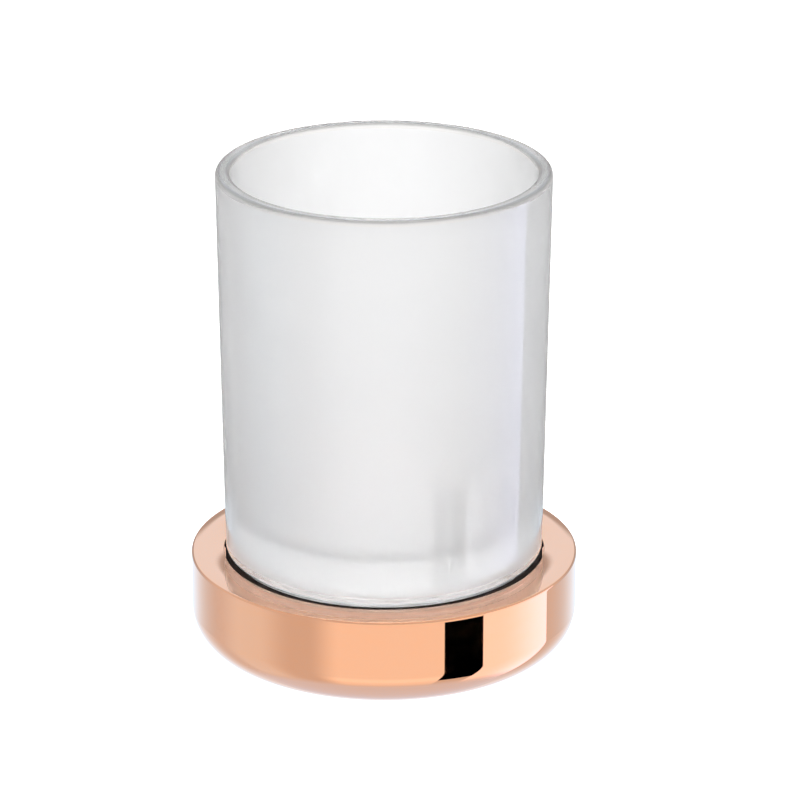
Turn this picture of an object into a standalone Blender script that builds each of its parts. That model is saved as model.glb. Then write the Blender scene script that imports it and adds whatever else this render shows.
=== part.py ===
"""Countertop toothbrush tumbler: a satin glass tumbler on a weighted, rose-gold plated round base.

The tumbler lifts straight off the base. Its underside has a shallow punt that drops over a raised
silicone seat, which centres it, and a rubber ring round the seat keeps its heel off the metal. The
base is a turned brass shell, bored out from below, with a ballast disc inside. A gasket, a screwed
cover and a foot ring close it.

Metres, +Z up. The origin is on the table under the object's axis, and -Y is the front.
"""

import math

import bmesh
import bpy
from mathutils import Matrix

MM = 0.001

SIDES = 72  # sides of the large turned pieces
SMALL_SIDES = 20  # sides of screws and of their holes
BOSS_SIDES = 24
SHARP_ANGLE = 30  # degrees; a crease above this is shaded sharp
WELD = 0.001 * MM  # points nearer than this are one
GAP = 0.3 * MM  # between pieces that touch

# Driving sizes, from the outside in
BASE_RADIUS = 42.0 * MM
FOOT_LIFT = 0.8 * MM  # metal above the table
SHELL_HEIGHT = 20.7 * MM
DECK_EDGE_ROUND = 0.5 * MM
LOWER_ROUND = 8.2 * MM
SHELL_WALL = 3.0 * MM
WEB_THICKNESS = 2.6 * MM  # below the seat's recess
BOTTOM_LIP = 1.2 * MM  # flat ring of metal round the cover
LEDGE_WIDTH = 2.0 * MM
LEDGE_THICKNESS = 2.0 * MM
BORE_ROUND = 1.2 * MM  # in the corners of the shell's bore

TUMBLER_TOP_RADIUS = 35.8 * MM
TUMBLER_FOOT_RADIUS = 34.5 * MM
TUMBLER_TOP_ABOVE_DECK = 86.4 * MM
TUMBLER_WALL = 3.4 * MM
TUMBLER_FLOOR = 8.5 * MM
HEEL_ROUND = 1.8 * MM
RIM_ROUND = 1.1 * MM
INNER_CORNER_ROUND = 4.0 * MM
PUNT_RADIUS = 26.5 * MM
PUNT_DEPTH = 2.2 * MM
PUNT_ROUND = 0.8 * MM

RECESS_RADIUS = 34.9 * MM
RECESS_DEPTH = 2.0 * MM
SEAT_RADIUS = 32.4 * MM
SEAT_BOSS_RADIUS = 25.6 * MM
SEAT_BOSS_HEIGHT = 1.9 * MM  # above the seat's rim
SEAT_BOSS_ROUND = 0.6 * MM
SEAT_RING_DROP = 0.35 * MM  # top of the ring below the deck
SEAT_RING_ROUND = 0.4 * MM

COVER_THICKNESS = 3.0 * MM
GASKET_THICKNESS = 0.8 * MM
GASKET_WIDTH = 1.3 * MM
BALLAST_THICKNESS = 7.0 * MM
BALLAST_CHAMFER = 0.6 * MM

FOOT_OUTER_RADIUS = 30.5 * MM
FOOT_INNER_RADIUS = 24.5 * MM
FOOT_THICKNESS = 2.0 * MM
FOOT_ROUND = 0.4 * MM

SCREW_COUNT = 3
SCREW_CIRCLE_RADIUS = 19.0 * MM
SCREW_RADIUS = 1.4 * MM
SCREW_HEAD_RADIUS = 2.8 * MM
SCREW_HEAD_HEIGHT = 1.3 * MM
SCREW_HEAD_SINK = 0.2 * MM  # head below the cover's underside
SCREW_LENGTH = 12.7 * MM
SCREW_TIP = 1.0 * MM
DRIVE_SLOT_LENGTH = 3.2 * MM
DRIVE_SLOT_WIDTH = 0.8 * MM
DRIVE_SLOT_DEPTH = 0.8 * MM
BOSS_RADIUS = 4.0 * MM

# Levels and radii that follow from them
DECK_Z = FOOT_LIFT + SHELL_HEIGHT
TUMBLER_BOTTOM_Z = DECK_Z
TUMBLER_TOP_Z = DECK_Z + TUMBLER_TOP_ABOVE_DECK
RECESS_Z = DECK_Z - RECESS_DEPTH
SEAT_Z = RECESS_Z + GAP
WEB_UNDERSIDE_Z = RECESS_Z - WEB_THICKNESS
REBATE_RADIUS = BASE_RADIUS - LOWER_ROUND - BOTTOM_LIP
MOUTH_RADIUS = REBATE_RADIUS - LEDGE_WIDTH
BORE_RADIUS = BASE_RADIUS - SHELL_WALL
COVER_TOP_Z = FOOT_LIFT + COVER_THICKNESS
GASKET_Z = COVER_TOP_Z + GAP
LEDGE_Z = GASKET_Z + GASKET_THICKNESS + GAP
LEDGE_TOP_Z = LEDGE_Z + LEDGE_THICKNESS
BALLAST_Z = COVER_TOP_Z + GAP
BALLAST_TOP_Z = BALLAST_Z + BALLAST_THICKNESS
BOSS_END_Z = BALLAST_TOP_Z + GAP
HEAD_Z = FOOT_LIFT + SCREW_HEAD_SINK
HEAD_SEAT_Z = HEAD_Z + SCREW_HEAD_HEIGHT
SHANK_HOLE_RADIUS = SCREW_RADIUS + GAP
CUT_OVERRUN = 1.0 * MM  # how far a cutter runs past the face it opens


def clear_scene():
    for obj in list(bpy.data.objects):
        bpy.data.objects.remove(obj)


def material(name, colour, roughness, metallic=0.0, transmission=0.0):
    made = bpy.data.materials.new(name)
    made.use_nodes = True
    shader = made.node_tree.nodes["Principled BSDF"]
    shader.inputs["Base Color"].default_value = (*colour, 1.0)
    shader.inputs["Roughness"].default_value = roughness
    shader.inputs["Metallic"].default_value = metallic
    shader.inputs["Transmission Weight"].default_value = transmission
    return made


def pivot(name, location=(0, 0, 0)):
    """An empty that carries the pieces of one moving body."""
    empty = bpy.data.objects.new(name, None)
    empty.location = location
    bpy.context.scene.collection.objects.link(empty)
    return empty


def add_object(name, mesh, finish, parent=None):
    obj = bpy.data.objects.new(name, mesh)
    bpy.context.scene.collection.objects.link(obj)
    mesh.materials.append(finish)
    mesh.shade_smooth()
    mesh.set_sharp_from_angle(angle=math.radians(SHARP_ANGLE))
    if parent is not None:
        obj.parent = parent
        obj.location = -parent.location
    return obj


def arc(centre_r, centre_z, radius, start, end, steps=6):
    """Points (r, z) round a centre, from start to end in degrees; 0 points outwards and 90 up."""
    points = []
    for i in range(steps + 1):
        angle = math.radians(start + (end - start) * i / steps)
        points.append((centre_r + radius * math.cos(angle), centre_z + radius * math.sin(angle)))
    return points


def turned(name, profile, finish, parent=None, sides=SIDES):
    """A solid of revolution about Z. Its profile (r, z) is a loop, or a line from axis to axis."""
    bm = bmesh.new()
    points = [bm.verts.new((r, 0, z)) for r, z in profile]
    edges = [bm.edges.new(pair) for pair in zip(points, points[1:])]
    if profile[0][0] > 0:
        edges.append(bm.edges.new((points[-1], points[0])))
    outline = points + edges
    full_turn = 2 * math.pi
    bmesh.ops.spin(bm, geom=outline, axis=(0, 0, 1), angle=full_turn, steps=sides, use_merge=True)
    bmesh.ops.remove_doubles(bm, verts=bm.verts, dist=WELD)
    bmesh.ops.recalc_face_normals(bm, faces=bm.faces)
    mesh = bpy.data.meshes.new(name)
    bm.to_mesh(mesh)
    bm.free()
    return add_object(name, mesh, finish, parent)


def rod(name, radius, low, high, finish, place=(0, 0), sides=SMALL_SIDES):
    """A plain upright cylinder between two heights, at a place (x, y)."""
    bm = bmesh.new()
    middle = Matrix.Translation((*place, (low + high) / 2))
    sizes = {"segments": sides, "radius1": radius, "radius2": radius, "depth": high - low}
    bmesh.ops.create_cone(bm, cap_ends=True, matrix=middle, **sizes)
    mesh = bpy.data.meshes.new(name)
    bm.to_mesh(mesh)
    bm.free()
    return add_object(name, mesh, finish)


def block(name, size, centre, finish):
    bm = bmesh.new()
    placed = Matrix.Translation(centre) @ Matrix.Diagonal((*size, 1))
    bmesh.ops.create_cube(bm, size=1.0, matrix=placed)
    mesh = bpy.data.meshes.new(name)
    bm.to_mesh(mesh)
    bm.free()
    return add_object(name, mesh, finish)


def combine(obj, helper, operation):
    """A Boolean of obj with a helper, which is then left out of the object."""
    helper.hide_render = True
    helper.display_type = "WIRE"
    modifier = obj.modifiers.new(helper.name, "BOOLEAN")
    modifier.operation = operation
    modifier.object = helper


def screw_places():
    for i in range(SCREW_COUNT):
        angle = math.radians(90 + 360 * i / SCREW_COUNT)
        yield SCREW_CIRCLE_RADIUS * math.cos(angle), SCREW_CIRCLE_RADIUS * math.sin(angle)


def make_tumbler(parent):
    """The glass: a thick floor with a punt below, a slightly tapering wall and a rounded rim."""
    glass = material("satin_glass", (0.93, 0.94, 0.94), 0.45, transmission=0.9)
    taper = (TUMBLER_TOP_RADIUS - TUMBLER_FOOT_RADIUS) / TUMBLER_TOP_ABOVE_DECK
    floor_z = TUMBLER_BOTTOM_Z + TUMBLER_FLOOR
    inner_top_radius = TUMBLER_TOP_RADIUS - TUMBLER_WALL
    inner_foot_radius = inner_top_radius - taper * (TUMBLER_TOP_Z - floor_z)
    punt_z = TUMBLER_BOTTOM_Z + PUNT_DEPTH
    profile = [(0, punt_z)]
    profile += arc(PUNT_RADIUS - PUNT_ROUND, punt_z - PUNT_ROUND, PUNT_ROUND, 90, 0, 3)
    profile += [(PUNT_RADIUS, TUMBLER_BOTTOM_Z)]
    heel_r = TUMBLER_FOOT_RADIUS - HEEL_ROUND
    profile += arc(heel_r, TUMBLER_BOTTOM_Z + HEEL_ROUND, HEEL_ROUND, -90, 0)
    rim_z = TUMBLER_TOP_Z - RIM_ROUND
    profile += arc(TUMBLER_TOP_RADIUS - RIM_ROUND, rim_z, RIM_ROUND, 0, 90, 4)
    profile += arc(inner_top_radius + RIM_ROUND, rim_z, RIM_ROUND, 90, 180, 4)
    corner_r = inner_foot_radius - INNER_CORNER_ROUND
    profile += arc(corner_r, floor_z + INNER_CORNER_ROUND, INNER_CORNER_ROUND, 0, -90)
    profile += [(0, floor_z)]
    return turned("tumbler", profile, glass, parent)


def make_tumbler_seat(parent):
    """The silicone pad in the deck's recess: a rim that the glass stands on, and a boss for its punt."""
    silicone = material("seat_silicone", (0.82, 0.82, 0.80), 0.55)
    rim_z = TUMBLER_BOTTOM_Z - GAP
    boss_z = rim_z + SEAT_BOSS_HEIGHT
    corner_r = SEAT_BOSS_RADIUS - SEAT_BOSS_ROUND
    profile = [(0, SEAT_Z), (SEAT_RADIUS, SEAT_Z), (SEAT_RADIUS, rim_z), (SEAT_BOSS_RADIUS, rim_z)]
    profile += arc(corner_r, boss_z - SEAT_BOSS_ROUND, SEAT_BOSS_ROUND, 0, 90, 3)
    profile += [(0, boss_z)]
    return turned("tumbler_seat", profile, silicone, parent)


def make_seat_ring(parent):
    """The rubber ring between the seat and the recess's wall, under the heel of the glass."""
    rubber = material("seat_ring_rubber", (0.025, 0.022, 0.02), 0.6)
    inner = SEAT_RADIUS + GAP
    outer = RECESS_RADIUS - GAP
    top = DECK_Z - SEAT_RING_DROP
    soft = SEAT_RING_ROUND
    profile = [(inner, SEAT_Z), (outer, SEAT_Z)]
    profile += arc(outer - soft, top - soft, soft, 0, 90, 3)
    profile += arc(inner + soft, top - soft, soft, 90, 180, 3)
    return turned("seat_ring", profile, rubber, parent)


def make_base_shell(parent):
    """The plated shell: a flat deck with the seat's recess, an upright side and a large lower round.

    Its bore is wider than its mouth, so a ledge is left all round for the gasket.
    """
    plating = material("rose_gold_plating", (0.93, 0.61, 0.45), 0.08, metallic=1.0)
    profile = [(0, RECESS_Z), (RECESS_RADIUS, RECESS_Z), (RECESS_RADIUS, DECK_Z)]
    edge_r = BASE_RADIUS - DECK_EDGE_ROUND
    profile += arc(edge_r, DECK_Z - DECK_EDGE_ROUND, DECK_EDGE_ROUND, 90, 0, 4)
    profile += arc(BASE_RADIUS - LOWER_ROUND, FOOT_LIFT + LOWER_ROUND, LOWER_ROUND, 0, -90, 10)
    profile += [(REBATE_RADIUS, FOOT_LIFT), (REBATE_RADIUS, LEDGE_Z), (MOUTH_RADIUS, LEDGE_Z)]
    profile += [(MOUTH_RADIUS, LEDGE_TOP_Z)]
    corner_r = BORE_RADIUS - BORE_ROUND
    profile += arc(corner_r, LEDGE_TOP_Z + BORE_ROUND, BORE_ROUND, -90, 0, 3)
    profile += arc(corner_r, WEB_UNDERSIDE_Z - BORE_ROUND, BORE_ROUND, 0, 90, 3)
    profile += [(0, WEB_UNDERSIDE_Z)]
    shell = turned("base_shell", profile, plating, parent)
    for number, place in enumerate(screw_places(), 1):
        boss_top = WEB_UNDERSIDE_Z + WEB_THICKNESS / 2
        boss = rod(f"boss_{number}", BOSS_RADIUS, BOSS_END_Z, boss_top, plating, place, BOSS_SIDES)
        combine(shell, boss, "UNION")
    hole_top = HEAD_SEAT_Z + SCREW_LENGTH + 2 * GAP
    for number, place in enumerate(screw_places(), 1):
        low = BOSS_END_Z - CUT_OVERRUN
        hole = rod(f"boss_hole_{number}", SHANK_HOLE_RADIUS, low, hole_top, plating, place)
        combine(shell, hole, "DIFFERENCE")
    return shell


def make_ballast(parent):
    """A cast-iron disc that lies on the cover, held down on it by the shell's bosses."""
    iron = material("cast_iron", (0.05, 0.05, 0.055), 0.55, metallic=0.5)
    radius = MOUTH_RADIUS - 2 * GAP
    bevel = BALLAST_CHAMFER
    profile = [(0, BALLAST_Z), (radius - bevel, BALLAST_Z), (radius, BALLAST_Z + bevel)]
    profile += [(radius, BALLAST_TOP_Z - bevel), (radius - bevel, BALLAST_TOP_Z), (0, BALLAST_TOP_Z)]
    ballast = turned("ballast_disc", profile, iron, parent)
    for number, place in enumerate(screw_places(), 1):
        low, high = BALLAST_Z - CUT_OVERRUN, BALLAST_TOP_Z + CUT_OVERRUN
        hole = rod(f"ballast_hole_{number}", SCREW_RADIUS + 2 * GAP, low, high, iron, place)
        combine(ballast, hole, "DIFFERENCE")
    return ballast


def make_gasket(parent):
    """The flat sealing ring between the cover and the shell's ledge."""
    rubber = material("gasket_rubber", (0.03, 0.03, 0.03), 0.8)
    outer = REBATE_RADIUS - GAP
    inner = outer - GASKET_WIDTH
    top = GASKET_Z + GASKET_THICKNESS
    profile = [(inner, GASKET_Z), (outer, GASKET_Z), (outer, top), (inner, top)]
    return turned("cover_gasket", profile, rubber, parent)


def make_cover(parent):
    """The moulded cover: a groove for the foot ring below, and a counterbored hole for each screw."""
    plastic = material("cover_plastic", (0.08, 0.08, 0.085), 0.55)
    radius = REBATE_RADIUS - GAP
    groove_z = FOOT_THICKNESS + GAP
    profile = [(0, FOOT_LIFT), (FOOT_INNER_RADIUS - GAP, FOOT_LIFT), (FOOT_INNER_RADIUS - GAP, groove_z)]
    profile += [(FOOT_OUTER_RADIUS + GAP, groove_z), (FOOT_OUTER_RADIUS + GAP, FOOT_LIFT)]
    profile += [(radius, FOOT_LIFT), (radius, COVER_TOP_Z), (0, COVER_TOP_Z)]
    cover = turned("bottom_cover", profile, plastic, parent)
    for number, place in enumerate(screw_places(), 1):
        low, high = FOOT_LIFT - CUT_OVERRUN, COVER_TOP_Z + CUT_OVERRUN
        hole = rod(f"cover_hole_{number}", SHANK_HOLE_RADIUS, low, high, plastic, place)
        combine(cover, hole, "DIFFERENCE")
        sink_radius, sink_top = SCREW_HEAD_RADIUS + GAP, HEAD_SEAT_Z + GAP
        sink = rod(f"cover_counterbore_{number}", sink_radius, low, sink_top, plastic, place)
        combine(cover, sink, "DIFFERENCE")
    return cover


def make_screws(parent):
    """Pan-head screws, driven upwards from below, each with a cross recess in its head."""
    steel = material("screw_steel", (0.55, 0.55, 0.56), 0.35, metallic=1.0)
    tip_z = HEAD_SEAT_Z + SCREW_LENGTH
    head_round = SCREW_HEAD_HEIGHT / 2
    profile = [(0, HEAD_Z)]
    profile += arc(SCREW_HEAD_RADIUS - head_round, HEAD_Z + head_round, head_round, -90, 0, 3)
    profile += [(SCREW_HEAD_RADIUS, HEAD_SEAT_Z), (SCREW_RADIUS, HEAD_SEAT_Z)]
    profile += [(SCREW_RADIUS, tip_z - SCREW_TIP), (0, tip_z)]
    slot_z = HEAD_Z + DRIVE_SLOT_DEPTH / 2 - CUT_OVERRUN / 2
    slot_height = DRIVE_SLOT_DEPTH + CUT_OVERRUN
    for number, (x, y) in enumerate(screw_places(), 1):
        screw = turned(f"cover_screw_{number}", profile, steel, parent, sides=SMALL_SIDES)
        screw.location = (x, y, 0)
        along_x = (DRIVE_SLOT_LENGTH, DRIVE_SLOT_WIDTH, slot_height)
        along_y = (DRIVE_SLOT_WIDTH, DRIVE_SLOT_LENGTH, slot_height)
        for turn, slot_size in enumerate((along_x, along_y), 1):
            slot = block(f"drive_slot_{number}_{turn}", slot_size, (x, y, slot_z), steel)
            combine(screw, slot, "DIFFERENCE")


def make_foot_ring(parent):
    """The non-slip ring that the whole object stands on."""
    rubber = material("foot_rubber", (0.04, 0.04, 0.042), 0.75)
    soft = FOOT_ROUND
    profile = arc(FOOT_INNER_RADIUS + soft, soft, soft, 180, 270, 3)
    profile += arc(FOOT_OUTER_RADIUS - soft, soft, soft, 270, 360, 3)
    profile += [(FOOT_OUTER_RADIUS, FOOT_THICKNESS), (FOOT_INNER_RADIUS, FOOT_THICKNESS)]
    return turned("foot_ring", profile, rubber, parent)


def main():
    clear_scene()
    base = pivot("base")
    tumbler_lift = pivot("tumbler_lift", (0, 0, TUMBLER_BOTTOM_Z))
    make_base_shell(base)
    make_ballast(base)
    make_gasket(base)
    make_cover(base)
    make_screws(base)
    make_foot_ring(base)
    make_tumbler_seat(base)
    make_seat_ring(base)
    make_tumbler(tumbler_lift)


main()
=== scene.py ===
"""The looks of a satin glass toothbrush tumbler on a polished rose-gold base, round its CAD frame.

Every piece that shows is remade here as a fine mesh, on the CAD's own levels and radii. The gasket
and the ballast, which are closed in, keep their CAD meshes. Metres, +Z up, and the object's axis is
the Z axis.
"""

import math

import bmesh
import bpy
from mathutils import Matrix, Vector


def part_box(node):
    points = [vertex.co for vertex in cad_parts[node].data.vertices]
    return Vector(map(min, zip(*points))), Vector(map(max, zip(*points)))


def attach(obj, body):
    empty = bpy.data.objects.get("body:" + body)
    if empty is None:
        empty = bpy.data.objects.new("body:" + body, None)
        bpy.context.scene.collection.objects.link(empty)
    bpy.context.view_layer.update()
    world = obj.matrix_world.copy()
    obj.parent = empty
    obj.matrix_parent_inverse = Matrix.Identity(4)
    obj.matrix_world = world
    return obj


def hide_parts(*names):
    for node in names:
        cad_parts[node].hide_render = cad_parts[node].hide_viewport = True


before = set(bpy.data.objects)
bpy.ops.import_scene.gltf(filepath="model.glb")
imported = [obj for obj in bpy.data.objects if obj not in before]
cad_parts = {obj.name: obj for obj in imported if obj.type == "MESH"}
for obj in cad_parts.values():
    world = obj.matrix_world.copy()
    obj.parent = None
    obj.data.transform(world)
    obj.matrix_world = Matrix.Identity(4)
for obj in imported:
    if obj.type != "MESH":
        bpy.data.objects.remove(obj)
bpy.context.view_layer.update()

MM = 0.001
SIDES = 256  # sides of the large turned pieces
SMALL_SIDES = 64
SHARP_ANGLE = 35  # degrees; a crease above this is shaded sharp
WELD = 0.0005 * MM

# Levels and radii that the CAD nodes' boxes give
shell_low, shell_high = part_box("base_shell")
_, glass_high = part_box("tumbler")
seat_low, seat_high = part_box("tumbler_seat")
_, ring_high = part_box("seat_ring")
_, cover_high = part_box("bottom_cover")
_, foot_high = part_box("foot_ring")

BASE_RADIUS = shell_high.x
DECK_Z = shell_high.z
FOOT_LIFT = shell_low.z
TUMBLER_TOP_Z = glass_high.z
TUMBLER_TOP_RADIUS = glass_high.x
SEAT_RADIUS = seat_high.x
SEAT_Z = seat_low.z
SEAT_TOP_Z = seat_high.z
SEAT_RING_RADIUS = ring_high.x
SEAT_RING_TOP_Z = ring_high.z
COVER_RADIUS = cover_high.x
COVER_TOP_Z = cover_high.z
FOOT_RADIUS = foot_high.x
FOOT_TOP_Z = foot_high.z

# Sizes of the CAD that the boxes don't give
GAP = 0.3 * MM
TUMBLER_FOOT_RADIUS = 34.5 * MM
TUMBLER_WALL = 3.4 * MM
TUMBLER_FLOOR = 8.5 * MM
HEEL_ROUND = 1.8 * MM
RIM_ROUND = 1.1 * MM
INNER_CORNER_ROUND = 4.0 * MM
PUNT_RADIUS = 26.5 * MM
PUNT_DEPTH = 2.2 * MM
PUNT_ROUND = 0.8 * MM
DECK_EDGE_ROUND = 0.5 * MM
LOWER_ROUND = 8.2 * MM
RECESS_RADIUS = 34.9 * MM
RECESS_DEPTH = 2.0 * MM
RECESS_EDGE_ROUND = 0.12 * MM
WEB_THICKNESS = 2.6 * MM
BORE_RADIUS = 39.0 * MM
BORE_ROUND = 1.2 * MM
REBATE_RADIUS = 32.6 * MM
MOUTH_RADIUS = 30.6 * MM
LEDGE_Z = 5.2 * MM
LEDGE_TOP_Z = 7.2 * MM
SEAT_BOSS_RADIUS = 25.6 * MM
SEAT_BOSS_ROUND = 0.6 * MM
FOOT_INNER_RADIUS = 24.5 * MM

SCREW_COUNT = 3
SCREW_CIRCLE_RADIUS = 19.0 * MM
SCREW_RADIUS = 1.4 * MM
SCREW_HEAD_RADIUS = 2.8 * MM
SCREW_HEAD_HEIGHT = 1.3 * MM
SCREW_HEAD_Z = 1.0 * MM
SCREW_LENGTH = 12.7 * MM
BOSS_RADIUS = 4.0 * MM
BOSS_END_Z = 11.4 * MM

# The glass: roughness, clarity (1 is clear, less is milky) and the painted shade in the rim: dark lines
# that stand for what its roundings refract
GLASS_COLOURS = ((0.97, 0.97, 0.975), (0.98, 0.98, 0.98))
GLASS_ROUGH = 0.6
ETCH_VARIATION = 0.04  # of the roughness, either way
GLASS_CLARITY_INSIDE = 0.85
HEEL_ROUGH = 0.2
HEEL_ROUGH_SPAN = (2.0 * MM, 4.0 * MM)  # above the deck
FLOOR_CLARITY = 1.0
FLOOR_MILK_SPAN = (2.0 * MM, 8.0 * MM)  # above the floor
RIM_ROUGH = 0.15
RIM_LIGHT = (0.92, 0.89, 0.86)
# RIM_PAINTED_SHADE is painted shade: the dark lines that the rim's roundings show by refraction
RIM_PAINTED_SHADE = (0.4, 0.39, 0.38)
RIM_SHADE_START = (0.4 * MM, 0.75 * MM)  # away from the middle of the rim
RIM_SHADE_END = (1.3 * MM, 1.65 * MM)
GLASS_INSIDE_SLOT = 1
GLASS_RIM_SLOT = 2

SEAT_COLOURS = ((0.93, 0.93, 0.93), (0.96, 0.96, 0.96))

# Studio: directions and heights of the cards in degrees, and strengths
ALL_ROUND = (-180, 180)
ALL_HEIGHTS = (-90, 90)
FRONT_TURN = (-46, 36)
FLAG_TURN = (35.8, 60.6)
BACK_TURN = (110, 250)
PANEL_TILT = (-60, 10)
FLAG_LOW = -43
FLAG_TOP = -22.4
FLAG_OVERLAP = 1
THROUGH_TILT = (-70, 45)
WORLD_STRENGTH = 0.66
BACK_MIDDLE_STRENGTH = 0.48
THROUGH_ALL_STRENGTH = 0.27
THROUGH_BACK_STRENGTH = 0.84
THROUGH_FRONT_STRENGTH = 1.2
THROUGH_TOP_STRENGTH = 3.75
KEY_POWER = 4.0  # watts
TOP_POWER = 10.0

# Camera: how far it is from the middle of the deck, and how it is framed
CAMERA_BACK = 868.6 * MM
CAMERA_UP = 364.2 * MM
CAMERA_PITCH = 20.81  # degrees downwards
CAMERA_LENS = 193.8
CAMERA_SHIFT_X = 0.02


# Mesh helpers

def arc(centre_r, centre_z, radius, start, end, steps=12):
    """Points (r, z) round a centre, from start to end in degrees; 0 points outwards and 90 up."""
    points = []
    for i in range(steps + 1):
        angle = math.radians(start + (end - start) * i / steps)
        points.append((centre_r + radius * math.cos(angle), centre_z + radius * math.sin(angle)))
    return points


def straight(start, end):
    """Two points just inside the ends of a straight wall, which keep its shading flat."""
    hold = 0.02  # share of the wall's length
    shares = (hold, 1 - hold)
    return [tuple(a + (b - a) * share for a, b in zip(start, end)) for share in shares]


def finished(name, bm):
    """The object of a bmesh, with outward faces and smooth shading between its creases."""
    bmesh.ops.remove_doubles(bm, verts=bm.verts, dist=WELD)
    bmesh.ops.recalc_face_normals(bm, faces=bm.faces)
    mesh = bpy.data.meshes.new(name)
    bm.to_mesh(mesh)
    bm.free()
    mesh.shade_smooth()
    mesh.set_sharp_from_angle(angle=math.radians(SHARP_ANGLE))
    obj = bpy.data.objects.new(name, mesh)
    bpy.context.scene.collection.objects.link(obj)
    return obj


def turned(name, profile, sides=SIDES, shift=None, place=(0, 0)):
    """A body of revolution about Z. Its profile (r, z) is a loop, or a line from axis to axis.

    shift(turn, r, z) gives a new (r, z) for a point at a share of the full turn, so that the body can
    have a pattern round it.
    """
    closed = profile[0][0] > 0
    bm = bmesh.new()
    columns = []
    for i in range(sides):
        turn = i / sides
        angle = 2 * math.pi * turn
        column = []
        for r, z in profile:
            if shift is not None:
                r, z = shift(turn, r, z)
            x, y = place[0] + r * math.cos(angle), place[1] + r * math.sin(angle)
            column.append(bm.verts.new((x, y, z)))
        columns.append(column)
    count = len(profile)
    for i in range(sides):
        here, there = columns[i], columns[(i + 1) % sides]
        for j in range(count if closed else count - 1):
            k = (j + 1) % count
            bm.faces.new((here[j], there[j], there[k], here[k]))
    if not closed:
        bmesh.ops.remove_doubles(bm, verts=bm.verts, dist=WELD)
        bmesh.ops.dissolve_degenerate(bm, edges=bm.edges, dist=WELD)
    return finished(name, bm)


def rod(name, radius, low, high, place=(0, 0)):
    """An upright cylinder between two levels."""
    bm = bmesh.new()
    middle = Matrix.Translation((*place, (low + high) / 2))
    bmesh.ops.create_cone(bm, cap_ends=True, matrix=middle, segments=SMALL_SIDES,
                          radius1=radius, radius2=radius, depth=high - low)
    return finished(name, bm)


def combine(obj, helpers, operation):
    """Boolean obj with its helpers, keep the result as obj's own mesh and drop the helpers."""
    for helper in helpers:
        modifier = obj.modifiers.new(helper.name, "BOOLEAN")
        modifier.operation = operation
        modifier.object = helper
        modifier.solver = "EXACT"
    graph = bpy.context.evaluated_depsgraph_get()
    mesh = bpy.data.meshes.new_from_object(obj.evaluated_get(graph))
    obj.modifiers.clear()
    obj.data = mesh
    for helper in helpers:
        bpy.data.objects.remove(helper)
    mesh.shade_smooth()
    mesh.set_sharp_from_angle(angle=math.radians(SHARP_ANGLE))


def screw_places():
    """The (x, y) of each screw's axis."""
    for i in range(SCREW_COUNT):
        angle = math.radians(90 + 360 * i / SCREW_COUNT)
        yield SCREW_CIRCLE_RADIUS * math.cos(angle), SCREW_CIRCLE_RADIUS * math.sin(angle)


def fit(piece, body, node, look):
    """Dress a piece, make it ride on its body and stand for its CAD node."""
    piece.data.materials.clear()
    piece.data.materials.append(look)
    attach(piece, body)
    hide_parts(node)


# Material helpers

def surface(name, **sockets):
    """A Principled material; what is plain all over is set on the shader's own sockets."""
    made = bpy.data.materials.new(name)
    made.use_nodes = True
    shader = made.node_tree.nodes["Principled BSDF"]
    for socket, value in sockets.items():
        shader.inputs[socket.replace("_", " ")].default_value = value
    return made, made.node_tree, shader


def place_of(tree):
    """The surface point in metres, in the object's own frame."""
    return tree.nodes.new("ShaderNodeTexCoord").outputs["Object"]


def noise(tree, size, detail=3.0, stretch=(1, 1, 1)):
    """Cloudy 3-D noise from 0 to 1, with features of about a size in metres."""
    mapping = tree.nodes.new("ShaderNodeMapping")
    mapping.inputs["Scale"].default_value = [s / size for s in stretch]
    tree.links.new(place_of(tree), mapping.inputs["Vector"])
    texture = tree.nodes.new("ShaderNodeTexNoise")
    texture.inputs["Scale"].default_value = 1.0
    texture.inputs["Detail"].default_value = detail
    tree.links.new(mapping.outputs["Vector"], texture.inputs["Vector"])
    return texture.outputs["Fac"]


def height(tree):
    """The height of the surface point above the table."""
    split = tree.nodes.new("ShaderNodeSeparateXYZ")
    tree.links.new(place_of(tree), split.inputs["Vector"])
    return split.outputs["Z"]


def axis_distance(tree):
    """The distance of the surface point from the axis."""
    flat = tree.nodes.new("ShaderNodeVectorMath")
    flat.operation = "MULTIPLY"
    flat.inputs[1].default_value = (1, 1, 0)
    tree.links.new(place_of(tree), flat.inputs[0])
    length = tree.nodes.new("ShaderNodeVectorMath")
    length.operation = "LENGTH"
    tree.links.new(flat.outputs["Vector"], length.inputs[0])
    return length.outputs["Value"]


def spread(tree, source, before, after, smooth=False):
    """Carry a value from one range to another, held at its ends."""
    node = tree.nodes.new("ShaderNodeMapRange")
    node.interpolation_type = "SMOOTHSTEP" if smooth else "LINEAR"
    node.inputs["From Min"].default_value, node.inputs["From Max"].default_value = before
    node.inputs["To Min"].default_value, node.inputs["To Max"].default_value = after
    tree.links.new(source, node.inputs["Value"])
    return node.outputs["Result"]


def calc(tree, operation, first, second=0.0):
    """A Math node; its inputs are numbers or other nodes' outputs."""
    node = tree.nodes.new("ShaderNodeMath")
    node.operation = operation
    for socket, value in zip(node.inputs, (first, second)):
        if isinstance(value, (int, float)):
            socket.default_value = value
        else:
            tree.links.new(value, socket)
    return node.outputs["Value"]


def tint(tree, mask, first, second):
    """A colour that goes from the first to the second as the mask goes from 0 to 1."""
    mix = tree.nodes.new("ShaderNodeMix")
    mix.data_type = "RGBA"
    mix.inputs[6].default_value = (*first, 1)
    mix.inputs[7].default_value = (*second, 1)
    tree.links.new(mask, mix.inputs["Factor"])
    return mix.outputs[2]


def bump(tree, shader, relief, depth):
    """Raise the surface by a relief from 0 to 1 times a depth in metres."""
    node = tree.nodes.new("ShaderNodeBump")
    node.inputs["Distance"].default_value = depth
    tree.links.new(relief, node.inputs["Height"])
    tree.links.new(node.outputs["Normal"], shader.inputs["Normal"])


# Materials

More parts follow.
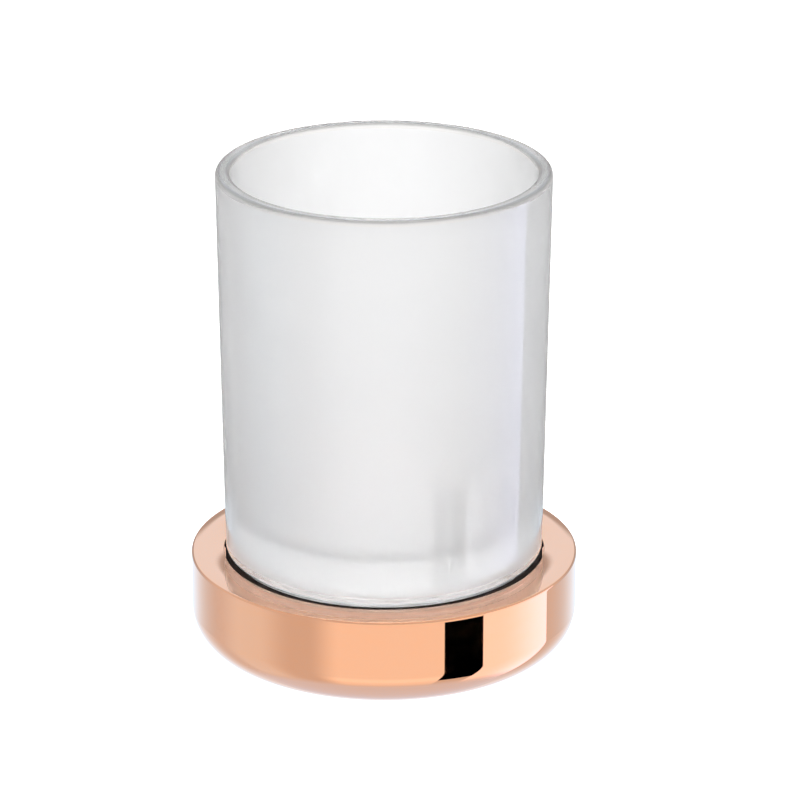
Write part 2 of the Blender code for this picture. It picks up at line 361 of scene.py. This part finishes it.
def satin_glass_look(name, clarity, rough, coat):
    """Etched glass of some clarity and roughness; coat is the weight of a smooth skin over it."""
    made, tree, shader = surface(
        name, Transmission_Weight=clarity, IOR=1.5, Coat_Weight=coat, Coat_Roughness=0.03, Coat_IOR=1.7)
    tree.links.new(tint(tree, noise(tree, 18 * MM), *GLASS_COLOURS), shader.inputs["Base Color"])
    between = (rough - ETCH_VARIATION, rough + ETCH_VARIATION)
    etch = spread(tree, noise(tree, 9 * MM), (0.3, 0.7), between)
    tree.links.new(etch, shader.inputs["Roughness"])
    bump(tree, shader, noise(tree, 0.25 * MM, 2.0), 0.006 * MM)
    return made, tree, shader


def glass_outside_look():
    """The outer wall under its smooth skin; its heel is etched less and so is clearer."""
    made, tree, shader = satin_glass_look("satin_glass", 1.0, GLASS_ROUGH, 1.0)
    level = calc(tree, "SUBTRACT", height(tree), DECK_Z)
    etch = shader.inputs["Roughness"].links[0].from_socket
    polish = spread(tree, level, HEEL_ROUGH_SPAN, (HEEL_ROUGH / GLASS_ROUGH, 1.0), smooth=True)
    tree.links.new(calc(tree, "MULTIPLY", etch, polish), shader.inputs["Roughness"])
    return made


def glass_inside_look():
    """The inner wall, a little milky, and the clear floor."""
    made, tree, shader = satin_glass_look(
        "satin_glass_inside", GLASS_CLARITY_INSIDE, GLASS_ROUGH, 0.0)
    level = calc(tree, "SUBTRACT", height(tree), DECK_Z + TUMBLER_FLOOR)
    clear = spread(tree, level, FLOOR_MILK_SPAN, (FLOOR_CLARITY, GLASS_CLARITY_INSIDE), smooth=True)
    tree.links.new(clear, shader.inputs["Transmission Weight"])
    return made


def glass_rim_look():
    """The fire-polished rim: clear on top, with painted shade in its two roundings, dark bands in the
    colour where the roundings would refract dark.
    """
    made, tree, shader = satin_glass_look("satin_glass_rim", 1.0, RIM_ROUGH, 0.0)
    middle = TUMBLER_TOP_RADIUS - TUMBLER_WALL / 2
    off = calc(tree, "ABSOLUTE", calc(tree, "SUBTRACT", axis_distance(tree), middle))
    # painted shade: a dark band in the colour across each rounding of the rim
    within = spread(tree, off, RIM_SHADE_START, (0.0, 1.0), smooth=True)
    beyond = spread(tree, off, RIM_SHADE_END, (1.0, 0.0), smooth=True)
    shade_line = calc(tree, "MULTIPLY", within, beyond)
    tree.links.new(tint(tree, shade_line, RIM_LIGHT, RIM_PAINTED_SHADE), shader.inputs["Base Color"])
    return made


def rose_gold_look():
    """Mirror plating, with faint wiping marks, and a duller underside where no one polishes it."""
    made, tree, shader = surface(
        "rose_gold", Metallic=1.0, Coat_Weight=1.0, Coat_Roughness=0.02, Coat_IOR=1.8)
    colour = tint(tree, noise(tree, 14 * MM), (0.93, 0.42, 0.20), (0.93, 0.43, 0.208))
    tree.links.new(colour, shader.inputs["Base Color"])
    wiped = spread(tree, noise(tree, 6 * MM, 5.0, (1, 1, 3)), (0.45, 0.75), (0.025, 0.05))
    under = spread(tree, height(tree), (1.6 * MM, 0.9 * MM), (0.0, 0.3), smooth=True)
    tree.links.new(calc(tree, "ADD", wiped, under), shader.inputs["Roughness"])
    bump(tree, shader, noise(tree, 0.8 * MM, 3.0), 0.0002 * MM)
    return made


def silicone_look():
    """Translucent white silicone with a fine moulded grain."""
    made, tree, shader = surface(
        "seat_silicone", IOR=1.41, Subsurface_Weight=0.35, Subsurface_Scale=0.004)
    shader.inputs["Subsurface Radius"].default_value = (1.0, 0.95, 0.9)
    colour = tint(tree, noise(tree, 7 * MM), *SEAT_COLOURS)
    tree.links.new(colour, shader.inputs["Base Color"])
    rough = spread(tree, noise(tree, 3 * MM), (0.3, 0.7), (0.42, 0.55))
    tree.links.new(rough, shader.inputs["Roughness"])
    bump(tree, shader, noise(tree, 0.3 * MM, 2.0), 0.01 * MM)
    return made


def rubber_look(name, dark, light, grain, depth, rough, shine=0.4):
    """Matt black rubber with a moulded grain and a trace of dust in it."""
    made, tree, shader = surface(name, IOR=1.5, Specular_IOR_Level=shine)
    dust = spread(tree, noise(tree, 2.5 * MM, 6.0), (0.55, 0.8), (0.0, 1.0))
    tree.links.new(tint(tree, dust, dark, light), shader.inputs["Base Color"])
    tree.links.new(spread(tree, noise(tree, 4 * MM), (0.3, 0.7), rough), shader.inputs["Roughness"])
    bump(tree, shader, noise(tree, grain, 3.0), depth)
    return made


def cover_look():
    """Charcoal plastic with a spark-eroded texture and faintly cloudy tones."""
    made, tree, shader = surface("cover_plastic", IOR=1.5, Specular_IOR_Level=0.45)
    colour = tint(tree, noise(tree, 9 * MM, 4.0), (0.075, 0.075, 0.08), (0.09, 0.09, 0.095))
    tree.links.new(colour, shader.inputs["Base Color"])
    rough = spread(tree, noise(tree, 5 * MM), (0.3, 0.7), (0.5, 0.65))
    tree.links.new(rough, shader.inputs["Roughness"])
    bump(tree, shader, noise(tree, 0.35 * MM, 4.0), 0.05 * MM)
    return made


def steel_look():
    """Stainless steel with a finely mottled surface, darker from the head's face inwards: painted shade
    in the cover's wells and the cross recess.
    """
    made, tree, shader = surface("screw_steel", Metallic=1.0)
    depths = (SCREW_HEAD_Z + 0.1 * MM, SCREW_HEAD_Z + 0.7 * MM)
    # painted shade: the steel darkens deeper into the well and the cross recess
    well_shade = spread(tree, height(tree), depths, (0.0, 1.0))
    colour = tint(tree, well_shade, (0.62, 0.62, 0.61), (0.32, 0.31, 0.30))
    tree.links.new(colour, shader.inputs["Base Color"])
    rough = spread(tree, noise(tree, 0.6 * MM), (0.3, 0.7), (0.25, 0.4))
    tree.links.new(rough, shader.inputs["Roughness"])
    bump(tree, shader, noise(tree, 0.12 * MM, 2.0), 0.004 * MM)
    return made


def cast_iron_look():
    """Black lacquer over a sand-cast skin, rubbed through to brown iron here and there."""
    made, tree, shader = surface("cast_weight", IOR=1.5, Specular_IOR_Level=0.5)
    rubbed = spread(tree, noise(tree, 5 * MM, 8.0), (0.62, 0.72), (0.0, 1.0))
    colour = tint(tree, rubbed, (0.035, 0.035, 0.038), (0.13, 0.075, 0.045))
    tree.links.new(colour, shader.inputs["Base Color"])
    tree.links.new(spread(tree, rubbed, (0.0, 1.0), (0.4, 0.8)), shader.inputs["Roughness"])
    bump(tree, shader, noise(tree, 0.9 * MM, 6.0), 0.15 * MM)
    return made


# Pieces

def make_tumbler():
    """The glass: a thick floor with a punt below, a slight taper and a rounded rim."""
    taper = (TUMBLER_TOP_RADIUS - TUMBLER_FOOT_RADIUS) / (TUMBLER_TOP_Z - DECK_Z)
    floor_z = DECK_Z + TUMBLER_FLOOR
    inner_top = TUMBLER_TOP_RADIUS - TUMBLER_WALL
    inner_foot = inner_top - taper * (TUMBLER_TOP_Z - floor_z)
    punt_z = DECK_Z + PUNT_DEPTH
    rim_z = TUMBLER_TOP_Z - RIM_ROUND
    profile = [(0, punt_z)]
    profile += arc(PUNT_RADIUS - PUNT_ROUND, punt_z - PUNT_ROUND, PUNT_ROUND, 90, 0, 6)
    profile += [(PUNT_RADIUS, DECK_Z)]
    profile += arc(TUMBLER_FOOT_RADIUS - HEEL_ROUND, DECK_Z + HEEL_ROUND, HEEL_ROUND, -90, 0)
    profile += straight((TUMBLER_FOOT_RADIUS, DECK_Z + HEEL_ROUND), (TUMBLER_TOP_RADIUS, rim_z))
    profile += arc(TUMBLER_TOP_RADIUS - RIM_ROUND, rim_z, RIM_ROUND, 0, 90, 10)
    profile += arc(inner_top + RIM_ROUND, rim_z, RIM_ROUND, 90, 180, 10)
    corner_r, corner_z = inner_foot - INNER_CORNER_ROUND, floor_z + INNER_CORNER_ROUND
    profile += straight((inner_top, rim_z), (inner_foot, corner_z))
    profile += arc(corner_r, corner_z, INNER_CORNER_ROUND, 0, -90)
    profile += [(0, floor_z)]
    glass = turned("tumbler_glass", profile)
    fit(glass, "tumbler", "tumbler", glass_outside_look())
    glass.data.materials.append(glass_inside_look())
    glass.data.materials.append(glass_rim_look())
    inside_reach = inner_top + 0.2 * MM
    sole_z = DECK_Z + 0.1 * MM
    for face in glass.data.polygons:
        middle = face.center
        around = math.hypot(middle.x, middle.y)
        if middle.z > rim_z:
            face.material_index = GLASS_RIM_SLOT
        elif around < inside_reach and middle.z > sole_z:
            face.material_index = GLASS_INSIDE_SLOT


def make_shell():
    """The plated base: deck with its recess, wall, lower round, bore and the screws' bosses."""
    recess_z = DECK_Z - RECESS_DEPTH
    edge = RECESS_EDGE_ROUND
    profile = [(0, recess_z), (RECESS_RADIUS, recess_z)]
    profile += arc(RECESS_RADIUS + edge, DECK_Z - edge, edge, 180, 90, 4)
    wall_top, wall_foot = DECK_Z - DECK_EDGE_ROUND, FOOT_LIFT + LOWER_ROUND
    profile += arc(BASE_RADIUS - DECK_EDGE_ROUND, wall_top, DECK_EDGE_ROUND, 90, 0, 10)
    profile += straight((BASE_RADIUS, wall_top), (BASE_RADIUS, wall_foot))
    profile += arc(BASE_RADIUS - LOWER_ROUND, wall_foot, LOWER_ROUND, 0, -90, 32)
    profile += [(REBATE_RADIUS, FOOT_LIFT), (REBATE_RADIUS, LEDGE_Z), (MOUTH_RADIUS, LEDGE_Z)]
    profile += [(MOUTH_RADIUS, LEDGE_TOP_Z)]
    web_z = recess_z - WEB_THICKNESS
    corner_r = BORE_RADIUS - BORE_ROUND
    profile += arc(corner_r, LEDGE_TOP_Z + BORE_ROUND, BORE_ROUND, -90, 0, 6)
    profile += arc(corner_r, web_z - BORE_ROUND, BORE_ROUND, 0, 90, 6)
    profile += [(0, web_z)]
    shell = turned("plated_shell", profile)
    bosses = []
    for number, place in enumerate(screw_places(), 1):
        bosses.append(rod(f"boss_{number}", BOSS_RADIUS, BOSS_END_Z, web_z + WEB_THICKNESS / 2, place))
    combine(shell, bosses, "UNION")
    hole_top = SCREW_HEAD_Z + SCREW_HEAD_HEIGHT + SCREW_LENGTH + 2 * GAP
    holes = []
    for number, place in enumerate(screw_places(), 1):
        holes.append(rod(f"hole_{number}", SCREW_RADIUS + GAP, BOSS_END_Z - 1 * MM, hole_top, place))
    combine(shell, holes, "DIFFERENCE")
    fit(shell, "base", "base_shell", rose_gold_look())


def make_seat():
    """The silicone pad. Its boss has a shallow dish and drain channels that run out to the rim."""
    rim_z = DECK_Z - GAP
    dish_r, dish_round = 17.0 * MM, 0.5 * MM
    dish_z = SEAT_TOP_Z - dish_round
    edge, fillet = 0.3 * MM, 0.4 * MM
    corner_r = SEAT_BOSS_RADIUS - SEAT_BOSS_ROUND
    profile = [(0, SEAT_Z), (SEAT_RADIUS, SEAT_Z)]
    profile += arc(SEAT_RADIUS - edge, rim_z - edge, edge, 0, 90, 4)
    profile += arc(SEAT_BOSS_RADIUS + fillet, rim_z + fillet, fillet, 270, 180, 4)
    profile += arc(corner_r, SEAT_TOP_Z - SEAT_BOSS_ROUND, SEAT_BOSS_ROUND, 0, 90, 6)
    groove_z = SEAT_TOP_Z - 0.25 * MM
    for middle in (22.0 * MM, 19.5 * MM):
        profile += [(middle + 0.5 * MM, SEAT_TOP_Z), (middle + 0.3 * MM, groove_z)]
        profile += [(middle - 0.3 * MM, groove_z), (middle - 0.5 * MM, SEAT_TOP_Z)]
    channel_start = 4 * MM
    profile += arc(dish_r, dish_z, dish_round, 90, 180, 4)
    profile += [(dish_r - 3 * MM, dish_z), (dish_r - 8 * MM, dish_z), (channel_start, dish_z)]
    profile += [(0, dish_z)]
    channels, channel_depth = 6, 0.7 * MM
    half_width, slope = 1.1 * MM, 0.4 * MM
    channel_end = SEAT_BOSS_RADIUS + 0.1 * MM
    channel_floor = rim_z + 0.4 * MM

    def drained(turn, r, z):
        inside_boss = channel_start < r < channel_end and z > rim_z + 0.5 * MM
        across = abs(((turn * channels + 0.5) % 1) - 0.5) / channels * 2 * math.pi * r
        if inside_boss and across < half_width:
            share = min(1.0, (half_width - across) / slope)
            return r, max(channel_floor, min(z, z - channel_depth * share))
        return r, z

    seat = turned("seat_pad", profile, sides=720, shift=drained)
    fit(seat, "base", "tumbler_seat", silicone_look())


def make_seat_ring():
    """The soft black ring in the recess, round the pad; its brown-black is partly the rubber's own
    colour and partly painted shade, standing for the shadow line round the glass's foot.
    """
    inner, outer, top = SEAT_RADIUS + GAP, SEAT_RING_RADIUS, SEAT_RING_TOP_Z
    soft = 0.4 * MM
    profile = [(inner, SEAT_Z), (outer, SEAT_Z)]
    profile += arc(outer - soft, top - soft, soft, 0, 90, 8)
    profile += arc(inner + soft, top - soft, soft, 90, 180, 8)
    # painted shade: the ring's brown-black stands for the shaded gap and shaded gold round the glass's
    # foot
    look = rubber_look("seat_ring_rubber", (0.012, 0.006, 0.004), (0.02, 0.012, 0.009),
                       0.3 * MM, 0.01 * MM, (0.6, 0.75), shine=0.1)
    fit(turned("seat_rubber_ring", profile), "base", "seat_ring", look)


def make_foot_ring():
    """The rubber foot: two grooves round its sole, and fine cuts across it."""
    soft = 0.4 * MM
    width = FOOT_RADIUS - FOOT_INNER_RADIUS
    groove, groove_depth = 0.35 * MM, 0.5 * MM
    profile = arc(FOOT_INNER_RADIUS + soft, soft, soft, 180, 270, 6)
    for share in (1 / 3, 2 / 3):
        middle = FOOT_INNER_RADIUS + width * share
        profile += [(middle - groove, 0), (middle - groove * 0.8, groove_depth)]
        profile += [(middle + groove * 0.8, groove_depth), (middle + groove, 0)]
    profile += arc(FOOT_RADIUS - soft, soft, soft, 270, 360, 6)
    profile += [(FOOT_RADIUS, FOOT_TOP_Z), (FOOT_INNER_RADIUS, FOOT_TOP_Z)]
    cuts, cut_depth, cut_share = 60, 0.3 * MM, 0.2

    def cut_sole(turn, r, z):
        across = abs(((turn * cuts + 0.5) % 1) - 0.5) * 2
        return r, max(z, cut_depth) if across < cut_share else z

    look = rubber_look("foot_rubber", (0.035, 0.035, 0.036), (0.075, 0.072, 0.07),
                       0.25 * MM, 0.02 * MM, (0.65, 0.8))
    foot = turned("foot_tread", profile, sides=720, shift=cut_sole)
    fit(foot, "base", "foot_ring", look)


def make_cover():
    """The moulded cover: the foot ring's groove, shallow rings, a gate mark and the screws' wells."""
    groove_z = FOOT_TOP_Z + GAP
    inner = FOOT_INNER_RADIUS - GAP
    outer = FOOT_RADIUS + GAP
    gate_r, gate_z = 2.2 * MM, FOOT_LIFT + 0.4 * MM
    profile = [(0, gate_z), (gate_r - 0.3 * MM, gate_z), (gate_r, FOOT_LIFT)]
    for middle in (8.0 * MM, 11.5 * MM):
        profile += [(middle - 0.5 * MM, FOOT_LIFT), (middle - 0.3 * MM, FOOT_LIFT + 0.3 * MM)]
        profile += [(middle + 0.3 * MM, FOOT_LIFT + 0.3 * MM), (middle + 0.5 * MM, FOOT_LIFT)]
    profile += arc(inner - 0.25 * MM, FOOT_LIFT + 0.25 * MM, 0.25 * MM, -90, 0, 4)
    profile += [(inner, groove_z), (outer, groove_z)]
    profile += arc(outer + 0.25 * MM, FOOT_LIFT + 0.25 * MM, 0.25 * MM, 180, 270, 4)
    profile += arc(COVER_RADIUS - 0.3 * MM, FOOT_LIFT + 0.3 * MM, 0.3 * MM, -90, 0, 4)
    profile += [(COVER_RADIUS, COVER_TOP_Z), (0, COVER_TOP_Z)]
    cover = turned("moulded_cover", profile)
    low, well_top = FOOT_LIFT - 1 * MM, SCREW_HEAD_Z + SCREW_HEAD_HEIGHT + GAP
    cutters = []
    for number, place in enumerate(screw_places(), 1):
        cutters.append(rod(f"hole_{number}", SCREW_RADIUS + GAP, low, COVER_TOP_Z + 1 * MM, place))
        cutters.append(rod(f"well_{number}", SCREW_HEAD_RADIUS + GAP, low, well_top, place))
    combine(cover, cutters, "DIFFERENCE")
    fit(cover, "base", "bottom_cover", cover_look())


def make_screws():
    """Pan-head screws with a cross recess and a thread."""
    look = steel_look()
    seat_z = SCREW_HEAD_Z + SCREW_HEAD_HEIGHT
    head_round = SCREW_HEAD_HEIGHT / 2
    tip_z = seat_z + SCREW_LENGTH
    pitch, crest, steps = 0.7 * MM, 0.28 * MM, 140
    start, end = seat_z + 1.2 * MM, tip_z - 1.0 * MM
    profile = [(0, SCREW_HEAD_Z)]
    profile += arc(SCREW_HEAD_RADIUS - head_round, SCREW_HEAD_Z + head_round, head_round, -90, 0, 8)
    profile += [(SCREW_HEAD_RADIUS, seat_z), (SCREW_RADIUS, seat_z)]
    profile += [(SCREW_RADIUS, start + (end - start) * i / steps) for i in range(steps + 1)]
    profile += [(0, tip_z)]

    def threaded(turn, r, z):
        if r == SCREW_RADIUS and start < z <= end:
            return r - crest * abs(((z / pitch - turn) % 1) - 0.5) * 2, z
        return r, z

    long, short, deep = 3.2 * MM, 0.8 * MM, 1.8 * MM  # one arm of the cross recess
    arm_taper = 0.6
    for number, place in enumerate(screw_places(), 1):
        screw = turned(f"pan_screw_{number}", profile, SMALL_SIDES, threaded, place)
        slots = []
        for turn, (length, width) in enumerate(((long, short), (short, long)), 1):
            bm = bmesh.new()
            centre = Matrix.Translation((*place, SCREW_HEAD_Z - 0.1 * MM))
            bmesh.ops.create_cube(bm, matrix=centre @ Matrix.Diagonal((length, width, deep, 1)))
            for vert in bm.verts:
                if vert.co.z > SCREW_HEAD_Z:
                    for axis in (0, 1):
                        vert.co[axis] = place[axis] + (vert.co[axis] - place[axis]) * arm_taper
            slots.append(finished(f"slot_{number}_{turn}", bm))
        combine(screw, slots, "DIFFERENCE")
        fit(screw, "base", f"cover_screw_{number}", look)


def dress_cad():
    """The gasket and the ballast keep their CAD meshes and only get materials."""
    gasket = rubber_look("gasket_rubber", (0.025, 0.025, 0.025), (0.05, 0.05, 0.048),
                         0.4 * MM, 0.02 * MM, (0.7, 0.85))
    for node, look in (("cover_gasket", gasket), ("ballast_disc", cast_iron_look())):
        mesh = bpy.data.objects[node].data
        mesh.materials.clear()
        mesh.materials.append(look)


# Studio

def glow(name, colour, strength):
    """A plain emissive material."""
    made = bpy.data.materials.new(name)
    made.use_nodes = True
    tree = made.node_tree
    tree.nodes.clear()
    out = tree.nodes.new("ShaderNodeOutputMaterial")
    emission = tree.nodes.new("ShaderNodeEmission")
    emission.inputs["Color"].default_value = (*colour, 1)
    emission.inputs["Strength"].default_value = strength
    tree.links.new(emission.outputs["Emission"], out.inputs["Surface"])
    return made


def soften(look, edges, sheer):
    """Fade a card out towards its left, right, lower and upper edge, over shares of its size.

    A sheer card adds its light to what is behind it.
    """
    tree = look.node_tree
    split = tree.nodes.new("ShaderNodeSeparateXYZ")
    tree.links.new(tree.nodes.new("ShaderNodeTexCoord").outputs["UV"], split.inputs["Vector"])
    mask = None
    for axis, side, width in zip("XXYY", (0, 1, 0, 1), edges):
        if width > 0:
            before = (0, width) if side == 0 else (1, 1 - width)
            ramp = spread(tree, split.outputs[axis], before, (0, 1), smooth=True)
            mask = ramp if mask is None else calc(tree, "MULTIPLY", mask, ramp)
    nothing = tree.nodes.new("ShaderNodeBsdfTransparent").outputs["BSDF"]
    shown = tree.nodes["Emission"].outputs["Emission"]
    if sheer:
        both = tree.nodes.new("ShaderNodeAddShader")
        tree.links.new(shown, both.inputs[0])
        tree.links.new(nothing, both.inputs[1])
        shown = both.outputs["Shader"]
    mix = tree.nodes.new("ShaderNodeMixShader")
    tree.links.new(mask, mix.inputs["Fac"])
    tree.links.new(nothing, mix.inputs[1])
    tree.links.new(shown, mix.inputs[2])
    tree.links.new(mix.outputs["Shader"], tree.nodes["Material Output"].inputs["Surface"])


def card(name, turn, tilt, strength, colour=(1, 1, 1), distance=2.0, edges=None,
         seen_by=("glossy",), sheer=False):
    """A curved card round the object, between two directions and two angles above the horizon.

    Directions are in degrees: 0 is towards the camera (-Y) and 90 is +X. Only the rays named in
    seen_by meet it.
    """
    steps = 24
    bm = bmesh.new()
    uv = bm.loops.layers.uv.new("card")
    rows = []
    for j in range(steps + 1):
        up = math.radians(tilt[0] + (tilt[1] - tilt[0]) * j / steps)
        row = []
        for i in range(steps + 1):
            side = math.radians(turn[0] + (turn[1] - turn[0]) * i / steps)
            place = (math.sin(side) * math.cos(up), -math.cos(side) * math.cos(up), math.sin(up))
            row.append(bm.verts.new(Vector(place) * distance))
        rows.append(row)
    for j in range(steps):
        for i in range(steps):
            face = bm.faces.new((rows[j][i], rows[j][i + 1], rows[j + 1][i + 1], rows[j + 1][i]))
            corners = ((i, j), (i + 1, j), (i + 1, j + 1), (i, j + 1))
            for loop, (u, v) in zip(face.loops, corners):
                loop[uv].uv = (u / steps, v / steps)
    mesh = bpy.data.meshes.new(name)
    bm.to_mesh(mesh)
    bm.free()
    obj = bpy.data.objects.new(name, mesh)
    bpy.context.scene.collection.objects.link(obj)
    obj.location = (0, 0, DECK_Z)
    look = glow(name, colour, strength)
    if edges:
        soften(look, edges, sheer)
    mesh.materials.append(look)
    obj.visible_shadow = False
    obj.visible_camera = "camera" in seen_by
    obj.visible_diffuse = "diffuse" in seen_by
    obj.visible_glossy = "glossy" in seen_by
    obj.visible_transmission = "transmission" in seen_by


def softbox(name, place, size, power):
    """An area light that looks at the middle of the glass and lights only matt surfaces."""
    light = bpy.data.lights.new(name, "AREA")
    light.size = size
    light.energy = power
    obj = bpy.data.objects.new(name, light)
    bpy.context.scene.collection.objects.link(obj)
    obj.location = place
    aim = Vector((0, 0, (DECK_Z + TUMBLER_TOP_Z) / 2)) - Vector(place)
    obj.rotation_euler = aim.to_track_quat("-Z", "Y").to_euler()
    obj.visible_camera = False
    obj.visible_glossy = False
    obj.visible_transmission = False


def make_floor():
    """A white floor that the camera sees and the object's reflections don't."""
    bpy.ops.mesh.primitive_plane_add(size=6)
    floor = bpy.context.object
    floor.name = "floor"
    look, _, shader = surface("floor", Base_Color=(0.8, 0.8, 0.8, 1), Roughness=0.6)
    shader.inputs["Emission Color"].default_value = (1, 1, 1, 1)
    shader.inputs["Emission Strength"].default_value = 0.9
    floor.data.materials.append(look)
    floor.visible_glossy = False
    floor.visible_transmission = False


def make_world():
    """Even white light from everywhere."""
    world = bpy.data.worlds.new("studio")
    bpy.context.scene.world = world
    world.use_nodes = True
    background = world.node_tree.nodes["Background"]
    background.inputs["Color"].default_value = (1, 1, 1, 1)
    background.inputs["Strength"].default_value = WORLD_STRENGTH


def make_reflected_cards():
    """What the metal and the glass's skin reflect."""
    card("surround", ALL_ROUND, ALL_HEIGHTS, 0.75, (0.98, 0.98, 1.0), 2.6)
    card("front_panel", FRONT_TURN, PANEL_TILT, 1.06, edges=(0.25, 0, 0.2, 0.2))
    card("front_low", FRONT_TURN, (-46, -28), 0.15, distance=1.95, edges=(0.25, 0, 0.4, 0.4),
         sheer=True)
    card("flag", FLAG_TURN, (FLAG_LOW, FLAG_TOP), 0.0, distance=1.8)
    card("above_flag", FLAG_TURN, (FLAG_TOP - FLAG_OVERLAP, 10), 1.1, edges=(0, 0, 0, 0.2))
    card("right_panel", (60.6, 113), PANEL_TILT, 1.3, (1.0, 1.0, 1.1), edges=(0, 0, 0.2, 0.2))
    card("right_glow", (70, 113), PANEL_TILT, 0.4, (0.8, 0.85, 1.8), 1.95,
         edges=(0.9, 0, 0.2, 0.2), sheer=True)
    card("left_panel", (-120, -55), PANEL_TILT, 1.0, (0.87, 0.95, 1.03),
         edges=(0.4, 0.4, 0.2, 0.2))
    cool = (0.92, 1.05, 1.18)
    card("back_middle", BACK_TURN, (-25, 25), BACK_MIDDLE_STRENGTH, distance=2.05,
         edges=(0.35, 0.35, 0, 0))
    card("back_high", BACK_TURN, (21, 60), 1.0, cool, edges=(0.35, 0.35, 0.03, 0.1))
    card("back_low", BACK_TURN, (-60, -21.6), 1.0, cool, edges=(0.35, 0.35, 0.1, 0.03))
    card("below", ALL_ROUND, (-90, -44), 0.3, (0.1, 0.6, 1.4), 2.3, edges=(0, 0, 0, 0.35),
         sheer=True)


def make_through_cards():
    """What shines through the glass."""
    through = {"seen_by": ("transmission",), "sheer": True}
    card("through_all", ALL_ROUND, ALL_HEIGHTS, THROUGH_ALL_STRENGTH, distance=2.9,
         seen_by=("transmission",))
    card("through_back", (140, 220), THROUGH_TILT, THROUGH_BACK_STRENGTH,
         edges=(0.4, 0.4, 0.1, 0.2), distance=2.2, **through)
    card("through_front", (-75, 75), THROUGH_TILT, THROUGH_FRONT_STRENGTH,
         edges=(0.2, 0.2, 0.1, 0.2), distance=2.45, **through)
    card("through_top", ALL_ROUND, (35, 90), THROUGH_TOP_STRENGTH, edges=(0, 0, 0.3, 0),
         distance=2.5, **through)


def make_studio():
    make_floor()
    make_world()
    card("backdrop", ALL_ROUND, ALL_HEIGHTS, 1.0, distance=6.0, seen_by=("camera",))
    make_reflected_cards()
    make_through_cards()
    softbox("key", (-0.5, -1.6, 0.9), 1.0, KEY_POWER)
    softbox("top", (0, 0, 1.6), 0.8, TOP_POWER)


def make_camera():
    camera = bpy.data.objects.new("camera", bpy.data.cameras.new("camera"))
    bpy.context.scene.collection.objects.link(camera)
    camera.location = (0, -CAMERA_BACK, DECK_Z + CAMERA_UP)
    camera.rotation_euler = (math.radians(90 - CAMERA_PITCH), 0, 0)
    camera.data.lens = CAMERA_LENS
    camera.data.shift_x = CAMERA_SHIFT_X
    camera.data.clip_end = 20
    bpy.context.scene.camera = camera


make_tumbler()
make_shell()
make_seat()
make_seat_ring()
make_foot_ring()
make_cover()
make_screws()
dress_cad()
make_studio()
make_camera()
bpy.context.scene.view_settings.view_transform = "Standard"
